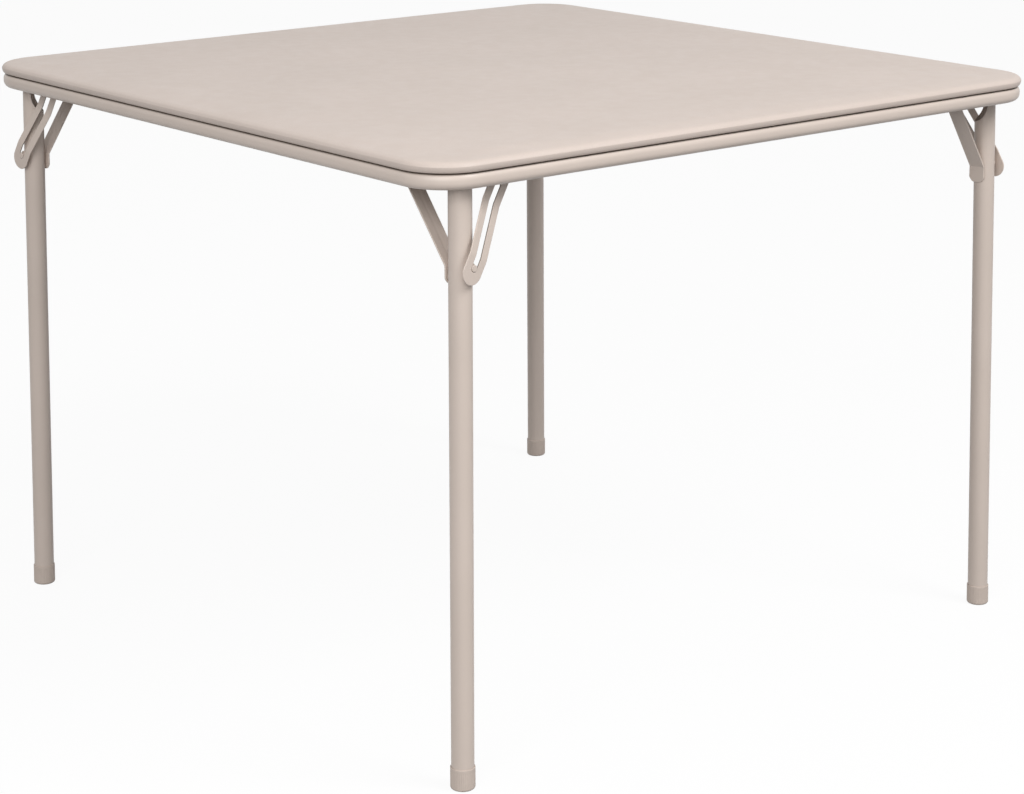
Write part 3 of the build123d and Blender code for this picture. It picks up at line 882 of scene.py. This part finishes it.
@dataclass
class LockStrap:
    """Slotted flat strap, joggled outward, with half-round edges."""

    corner: Corner
    shop: PaintShop
    width: float = 28.0
    thickness: float = 1.5
    slot_width: float = 8.2
    slot_margin: float = 14.0
    end_shift: float = 4.0
    tip_shift: float = 4.7
    ease: float = 0.45
    pivot_reach: float = 51.3
    pivot_outset: float = 3.3
    pivot_rise: float = 1.8
    hinge_offset: float = 3.0
    stud_side_offset: float = 0.1
    stud_stand_off: float = 20.0
    bend_below_pivot: float = 28.5
    bend_over_stud: float = 11.0
    bend_radius: float = 14.0
    # Depth of the painted shade on the slot's inner wall.
    slot_wall_shade: float = 0.85
    high_points: int = 19
    low_points: int = 25
    run_points: int = 70
    small: float = 0.01

    def pivot(self) -> np.ndarray:
        """Where the strap turns, in the middle of its thickness."""
        hinge = SIZES.leg_centre(SIZES.rail_top - SIZES.hinge_drop)
        return hinge + [
            self.hinge_offset + self.pivot_reach,
            -self.pivot_outset,
            self.pivot_rise,
        ]

    def stud(self) -> np.ndarray:
        """Where the stud sits, in the middle of the strap's thickness."""
        centre = SIZES.leg_centre(SIZES.rail_top - SIZES.stud_drop)
        side = SIZES.strip_direction * self.stud_side_offset
        return centre + side - SIZES.strip_axis * self.stud_stand_off

    def loops(self, reach: float) -> tuple[np.ndarray, np.ndarray]:
        """Slot's edge and strap's edge, point for point.

        Each is two half circles joined by straight runs. The first number is the distance
        down the strap from its pivot, and the second the distance to one side.

        Args:
            reach: Distance from the pivot to the stud.

        Returns:
            Points of the slot's edge and of the strap's edge, one to a row.
        """
        found = []
        for radius, high, low in (
            (self.slot_width / 2, self.slot_margin, reach),
            (self.width / 2, self.end_shift, reach + self.tip_shift),
        ):
            upper = arc((high, 0), radius, 90, 270, self.high_points)
            lower = arc((low, 0), radius, -90, 90, self.low_points)
            left = straight((high, -radius), (low, -radius), self.run_points)
            right = straight((low, radius), (high, radius), self.run_points)
            found.append(np.vstack([upper, left, lower, right]))
        return found[0], found[1]

    def surface(self) -> Surface:
        """Carries a rounded section round the slot, then bends it to the joggle.

        Returns:
            The closed ring, in metres on the table.
        """
        run = self.stud() - self.pivot()
        joggle = float(run @ SIZES.strip_axis)
        level = run - SIZES.strip_axis * joggle
        reach = float(np.linalg.norm(level))
        down = level / reach
        side = np.cross(SIZES.strip_axis, down)
        inner, outer = self.loops(reach)
        gap = np.linalg.norm(outer - inner, axis=1)
        across = (outer - inner) / gap[:, None]
        half, ease = self.thickness / 2, self.ease
        lip = arc((ease, half - ease), ease, 180, 90, 5)
        flat = np.linspace(0, 1, 7)[1:-1]
        rim = (lip * [1, -1])[::-1].tolist() + lip.tolist()
        face = [
            inner + across * (ease + share * (gap - 2 * ease))[:, None] for share in flat.tolist()
        ]
        # The slot's inner wall gets a tone below zero, painted shade; the outer edge gets a paler
        # tone for rubbed paint.
        rows = [
            (inner + across * s, h, min(s / ease - 1, 0.0) * self.slot_wall_shade) for s, h in rim
        ]
        rows += [(place, half, 0.0) for place in face]
        rows += [(outer - across * s, h, max(1 - s / ease, 0.0)) for s, h in rim[::-1]]
        rows += [(place, -half, 0.0) for place in face[::-1]]
        plan = np.array([row[0] for row in rows])
        lift, mark = (
            np.repeat([[row[part]] for row in rows], len(inner), axis=1) for part in (1, 2)
        )
        steep = -1 / down[2]
        high = self.bend_below_pivot * steep
        low = reach - self.bend_over_stud * steep
        slope = joggle / (low - high)
        turn = self.bend_radius * math.tan(math.atan(abs(slope)) / 2)
        along = plan[..., 0]
        offset, ahead = (
            slope * (soft_ramp(place, high, turn) - soft_ramp(place, low, turn))
            for place in (along, along + self.small)
        )
        tilt = (ahead - offset) / self.small
        grow = np.sqrt(1 + tilt**2)
        along = along - lift * tilt / grow
        offset = offset + lift / grow
        points = (
            self.pivot()
            + along[..., None] * down
            + plan[..., 1, None] * side
            + offset[..., None] * SIZES.strip_axis
        )
        return Surface(self.corner.on_table(points), ring=True, tone=mark)

    def build(self) -> None:
        """Builds the strap and dresses its stud and its rivet."""
        label = self.corner.label
        mesh = self.surface().mesh(f"{label}_slotted_strap")
        finish = self.shop.get(Finish.STRIP_PAINT)
        piece = add_piece(mesh, f"{label}_strap", finish)
        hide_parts(f"{label}_lock_strap")
        self.shop.dress(f"{label}_lock_stud", Finish.STRIP_PAINT)
        self.shop.dress(f"{label}_strap_rivet", Finish.PLATED_STEEL)


@dataclass
class SideBrace:
    """Flat strip from the tube to the rail's inside, with a shallow bead down its slope."""

    corner: Corner
    shop: PaintShop
    width: float = 21.5
    thickness: float = 2.0
    ease: float = 0.5
    side_offset: float = 1.5
    tab_below_stud: float = 21.0
    tab_length: float = 20.0
    slope_below_rod: float = 9.0
    over_rod: float = 9.0
    lean: float = 34.8
    bend_radius: float = 3.0
    corner_round: float = 6.0
    chamfer: float = 1.0
    bead_half_width: float = 3.2
    bead_height: float = 0.2
    bead_margin: float = 6.0
    bead_fade: float = 8.0
    end_width: float = 0.94
    end_thickness: float = 0.5

    def path(self) -> np.ndarray:
        """Centre line: tab on the tube, slope, and upper tab.

        Returns:
            Rows of distance inward from the tube's axis and height over the tab's bend.
        """
        stud = SIZES.rail_top - SIZES.stud_drop
        hinge = SIZES.rail_top - SIZES.hinge_drop
        tab_top = stud - self.tab_below_stud + self.tab_length
        lean_in = SIZES.splay_rate * float(SIZES.strip_axis[:2].sum())
        stand_off = SIZES.tube_radius * math.hypot(1, lean_in) + self.thickness / 2
        rise = hinge - self.slope_below_rod - tab_top
        far = stand_off + rise * math.tan(math.radians(self.lean))
        corners = [
            (stand_off - lean_in * self.tab_length, -self.tab_length),
            (stand_off, 0.0),
            (far, rise),
            (far, hinge + self.over_rod - tab_top),
        ]
        return filleted(corners, self.bend_radius, 2.0)

    def section(self, half: np.ndarray, bead: np.ndarray) -> tuple[np.ndarray, np.ndarray]:
        """Rounded rectangle of each half width, with a bead on both faces.

        The bead is a raised cosine across its width, so the strip keeps its thickness.

        Args:
            half: Half width at each place on the path.
            bead: Height of the bead at each place.

        Returns:
            Offsets to the side and through the strip, places by points.
        """
        t, e = self.thickness / 2, self.ease
        corner = arc((0, 0), e, 0, 90, 4)
        cos, sin = corner[:, 0], corner[:, 1]
        inside = half[:, None] - e
        flat = np.linspace(0.94, -0.94, 23)[None]
        face = flat * inside
        right = inside + cos
        side = np.hstack([right, face, -right[:, ::-1], -right, -face, right[:, ::-1]])
        up = np.broadcast_to(t - e + sin, right.shape)
        level = np.full(face.shape, t)
        through = np.hstack([up, level, up[:, ::-1], -up, -level, -up[:, ::-1]])
        share = np.clip(np.abs(side) / self.bead_half_width, 0, 1)
        through = through + bead[:, None] * 0.5 * (1 + np.cos(np.pi * share))
        return side, through

    def surface(self) -> Surface:
        """Carries the section along the path, narrowed to round corners at both ends.

        Returns:
            The closed strip, in metres on the table.
        """
        line = self.path()
        place = np.append(0, np.cumsum(np.linalg.norm(np.diff(line, axis=0), axis=1)))
        total = place[-1]
        ends = self.corner_round * (1 - np.cos(np.radians(np.linspace(0, 90, 8))))
        keep = (place > self.corner_round) & (place < total - self.corner_round)
        at = np.concatenate([ends, place[keep], total - ends[::-1]])
        line = np.stack([np.interp(at, place, line[:, 0]), np.interp(at, place, line[:, 1])], 1)
        to_end = np.minimum(at, total - at)
        inset = self.corner_round - np.minimum(to_end, self.corner_round)
        curved = self.corner_round - np.sqrt(np.maximum(self.corner_round**2 - inset**2, 0))
        cut = (curved + inset * self.chamfer) / 2
        half = self.width / 2 - cut
        start = self.tab_length + self.bead_margin
        stop = total - self.over_rod - self.slope_below_rod - self.bead_margin
        bead = self.bead_height * smooth_step(at, start, start + self.bead_fade)
        bead *= 1 - smooth_step(at, stop - self.bead_fade, stop)
        side, through = self.section(half, bead)
        side, through = (
            np.concatenate([grid[:1] * share, grid, grid[-1:] * share])
            for grid, share in ((side, self.end_width), (through, self.end_thickness))
        )
        way = np.gradient(line, axis=0)
        way /= np.linalg.norm(way, axis=1, keepdims=True)
        line = np.concatenate([line[:1], line, line[-1:]])
        way = np.concatenate([way[:1], way, way[-1:]])
        stud = SIZES.rail_top - SIZES.stud_drop
        root = SIZES.leg_centre(stud - self.tab_below_stud + self.tab_length)
        root = root + SIZES.strip_direction * self.side_offset
        inward = line[:, :1] + way[:, 1:] * through
        up = line[:, 1:] - way[:, :1] * through
        points = (
            root
            + inward[..., None] * SIZES.strip_axis
            + side[..., None] * SIZES.strip_direction
            + up[..., None] * np.array([0.0, 0.0, 1.0])
        )
        limit = np.concatenate([half[:1], half, half[-1:]])[:, None]
        tone = smooth_step(np.abs(side), limit - self.ease * 1.2, limit)
        return Surface(self.corner.on_table(points), tone=tone)

    def build(self) -> None:
        """Builds the brace and dresses its rivet and its bracket."""
        label = self.corner.label
        mesh = self.surface().mesh(f"{label}_beaded_brace")
        finish = self.shop.get(Finish.STRIP_PAINT)
        piece = add_piece(mesh, f"{label}_leg", finish)
        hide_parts(f"{label}_side_brace")
        self.shop.dress(f"{label}_brace_rivet", Finish.LEG_PAINT)
        self.shop.dress(f"{label}_brace_bracket", Finish.STRIP_PAINT)


@dataclass
class Leg:
    """Tube, foot cap, hinge sleeve, rod and bracket of one corner."""

    corner: Corner
    shop: PaintShop
    cap_radius: float = 14.1
    cap_height: float = 26.0
    cap_base: float = 4.0
    cap_round: float = 3.2
    rim_ease: float = 0.4
    tube_gap: float = 0.03
    ribs: int = 40
    rib_height: float = 0.28
    rib_low: float = 4.5
    rib_high: float = 22.0
    scuff_height: float = 7.0
    scuff: float = 0.8
    # Depth of the painted shade in the rib grooves.
    groove_shade: float = 0.5

    def cap_surface(self) -> Surface:
        """Cup turned about the leaning leg, with ribs as a rectified wave round its wall.

        Returns:
            The closed cup, in metres on the table.
        """
        radius, top, ease = self.cap_radius, self.cap_height, self.rim_ease
        bore = SIZES.tube_radius + self.tube_gap
        profile = np.vstack(
            [
                np.array([[radius * 0.35, 0.0], [radius * 0.6, 0.0]]),
                arc((radius - self.cap_round, self.cap_round), self.cap_round, 270, 360, 9),
                straight((radius, self.cap_round), (radius, top - ease), 22),
                arc((radius - ease, top - ease), ease, 0, 90, 5),
                np.array([[bore + 0.02, top], [bore, top - 0.4], [bore, self.cap_base]]),
                np.array([[bore * 0.5, self.cap_base]]),
            ]
        )
        angle = np.linspace(0, 2 * math.pi, self.ribs * 8, endpoint=False)[None]
        r, z = profile[:, :1], profile[:, 1:]
        band = smooth_step(z, self.rib_low - 1.5, self.rib_low)
        band = band * (1 - smooth_step(z, self.rib_high, self.rib_high + 1.2))
        band = band * (r > bore + 0.5)
        groove = np.abs(np.cos(angle * self.ribs / 2)) ** 4
        swept = r - band * self.rib_height * groove
        lean = SIZES.splay_rate * z
        points = np.stack(
            [
                SIZES.foot_along + lean + swept * np.cos(angle),
                SIZES.foot_inward + lean + swept * np.sin(angle),
                np.broadcast_to(z, swept.shape),
            ],
            axis=-1,
        )
        # Tone for the cap: scuff near the floor, plus painted shade in the rib grooves.
        tone = np.clip(1 - z / self.scuff_height, 0, 1) * self.scuff
        tone = tone + band * groove * self.groove_shade
        return Surface(self.corner.on_table(points), tone=tone)

    def build(self) -> None:
        """Builds the foot cap and dresses the corner's other pieces."""
        label = self.corner.label
        mesh = self.cap_surface().mesh(f"{label}_ribbed_cap")
        finish = self.shop.get(Finish.CAP_PLASTIC)
        piece = add_piece(mesh, f"{label}_leg", finish)
        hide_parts(f"{label}_foot_cap")
        for node in ("leg_tube", "hinge_sleeve"):
            self.shop.dress(f"{label}_{node}", Finish.LEG_PAINT)
        self.shop.dress(f"{label}_hinge_bracket", Finish.STRIP_PAINT)
        self.shop.dress(f"{label}_hinge_rod", Finish.PLATED_STEEL)


# Studio


@dataclass
class Studio:
    """Pale floor, plain soft light and the camera of the photograph."""

    camera_place: tuple = (-2.0545, -2.5358, 1.2026)
    target: tuple = (-0.24947, -0.37346, 0.4)
    lens: float = 90.52
    shift: float = -0.0287
    sky: float = 0.42
    key_place: tuple = (1.0, -3.0, 3.6)
    key_size: float = 1.8
    key_power: float = 96.0
    left_place: tuple = (-3.1, -2.5, 2.3)
    left_size: float = 2.4
    left_power: float = 90.0
    lamp_target: tuple = (0.0, 0.0, 0.45)
    floor_half: float = 12.0
    floor_points: int = 13
    floor_glow: float = 0.93
    floor_bounce: float = 0.2

    def camera(self) -> None:
        """Sets up the camera at the photograph's place."""
        data = bpy.data.cameras.new("camera")
        data.lens, data.shift_x = self.lens, self.shift
        data.clip_start, data.clip_end = 0.05, 100
        camera = bpy.data.objects.new("camera", data)
        way = Vector(self.target) - Vector(self.camera_place)
        camera.location = self.camera_place
        camera.rotation_euler = way.to_track_quat("-Z", "Y").to_euler()
        bpy.context.scene.collection.objects.link(camera)
        bpy.context.scene.camera = camera

    def lamp(self, name: str, place: tuple, size: float, power: float) -> None:
        """Adds a square soft lamp that faces the table.

        Args:
            name: Name of the lamp.
            place: Its place, in metres.
            size: Length of its sides.
            power: Power in watts.
        """
        data = bpy.data.lights.new(name, "AREA")
        data.shape, data.size, data.energy = "SQUARE", size, power
        lamp = bpy.data.objects.new(name, data)
        way = Vector(self.lamp_target) - Vector(place)
        lamp.location = place
        lamp.rotation_euler = way.to_track_quat("-Z", "Y").to_euler()
        bpy.context.scene.collection.objects.link(lamp)

    @staticmethod
    def seen(tree: bpy.types.NodeTree) -> bpy.types.NodeSocket:
        """One for camera, glossy and transmission rays, and zero for the rest."""
        path = tree.nodes.new("ShaderNodeLightPath")
        total = path.outputs["Is Camera Ray"]
        for name in ("Is Glossy Ray", "Is Transmission Ray"):
            higher = tree.nodes.new("ShaderNodeMath")
            higher.operation = "MAXIMUM"
            tree.links.new(total, higher.inputs[0])
            tree.links.new(path.outputs[name], higher.inputs[1])
            total = higher.outputs[0]
        return total

    def world(self) -> None:
        """Grey light from all round, seen as white."""
        world = bpy.data.worlds.new("studio")
        bpy.context.scene.world = world
        world.use_nodes = True
        tree = world.node_tree
        tree.nodes.clear()
        output = tree.nodes.new("ShaderNodeOutputWorld")
        mix = tree.nodes.new("ShaderNodeMixShader")
        light = tree.nodes.new("ShaderNodeBackground")
        white = tree.nodes.new("ShaderNodeBackground")
        light.inputs["Strength"].default_value = self.sky
        for part in (light, white):
            part.inputs["Color"].default_value = (1, 1, 1, 1)
        tree.links.new(self.seen(tree), mix.inputs[0])
        tree.links.new(light.outputs[0], mix.inputs[1])
        tree.links.new(white.outputs[0], mix.inputs[2])
        tree.links.new(mix.outputs[0], output.inputs["Surface"])

    def floor(self) -> None:
        """Wide pale floor that keeps the table's shadow."""
        count = self.floor_points
        edge = np.linspace(-self.floor_half, self.floor_half, count)
        x, y = np.meshgrid(edge, edge, indexing="ij")
        points = np.stack([x, y, np.zeros_like(x)], axis=-1).reshape(-1, 3)
        index = np.arange(count**2).reshape(count, count)
        faces = np.stack([index[:-1, :-1], index[1:, :-1], index[1:, 1:], index[:-1, 1:]], -1)
        mesh = bpy.data.meshes.new("floor")
        mesh.from_pydata(points.tolist(), [], faces.reshape(-1, 4).tolist())
        floor = bpy.data.objects.new("floor", mesh)
        bpy.context.scene.collection.objects.link(floor)
        sheet = ShaderSheet("pale_floor")
        sheet.set(Roughness=0.9)
        pale = sheet.blend(sheet.mottled(0.7, 2.0), (0.94, 0.94, 0.94, 1), (0.97, 0.97, 0.97, 1))
        bounce = (self.floor_bounce, self.floor_bounce, self.floor_bounce, 1)
        seen = self.seen(sheet.tree)
        sheet.feed("Base Color", sheet.blend(seen, bounce, pale))
        glow = sheet.node("ShaderNodeEmission")
        mix = sheet.node("ShaderNodeMixShader")
        share = sheet.node("ShaderNodeMath", operation="MULTIPLY")
        sheet.join(seen, share.inputs[0])
        share.inputs[1].default_value = self.floor_glow
        sheet.join(share.outputs[0], mix.inputs[0])
        sheet.join(sheet.shader.outputs["BSDF"], mix.inputs[1])
        sheet.join(glow.outputs["Emission"], mix.inputs[2])
        sheet.join(mix.outputs[0], sheet.output.inputs["Surface"])
        mesh.materials.append(sheet.material)

    def build(self) -> None:
        """Lights the table and points the camera at it."""
        bpy.context.scene.view_settings.view_transform = "Standard"
        self.camera()
        self.world()
        self.floor()
        self.lamp("key", self.key_place, self.key_size, self.key_power)
        self.lamp("left", self.left_place, self.left_size, self.left_power)


def main() -> None:
    """Builds the studio and the table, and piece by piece."""
    logging.basicConfig(level=logging.INFO, format="%(name)s: %(message)s")
    Studio().build()
    shop = PaintShop()
    PaddedTop(shop).build()
    Rail(shop).build()
    for corner in Corner:
        Leg(corner, shop).build()
        SideBrace(corner, shop).build()
        LockStrap(corner, shop).build()


if __name__ == "__main__":
    main()
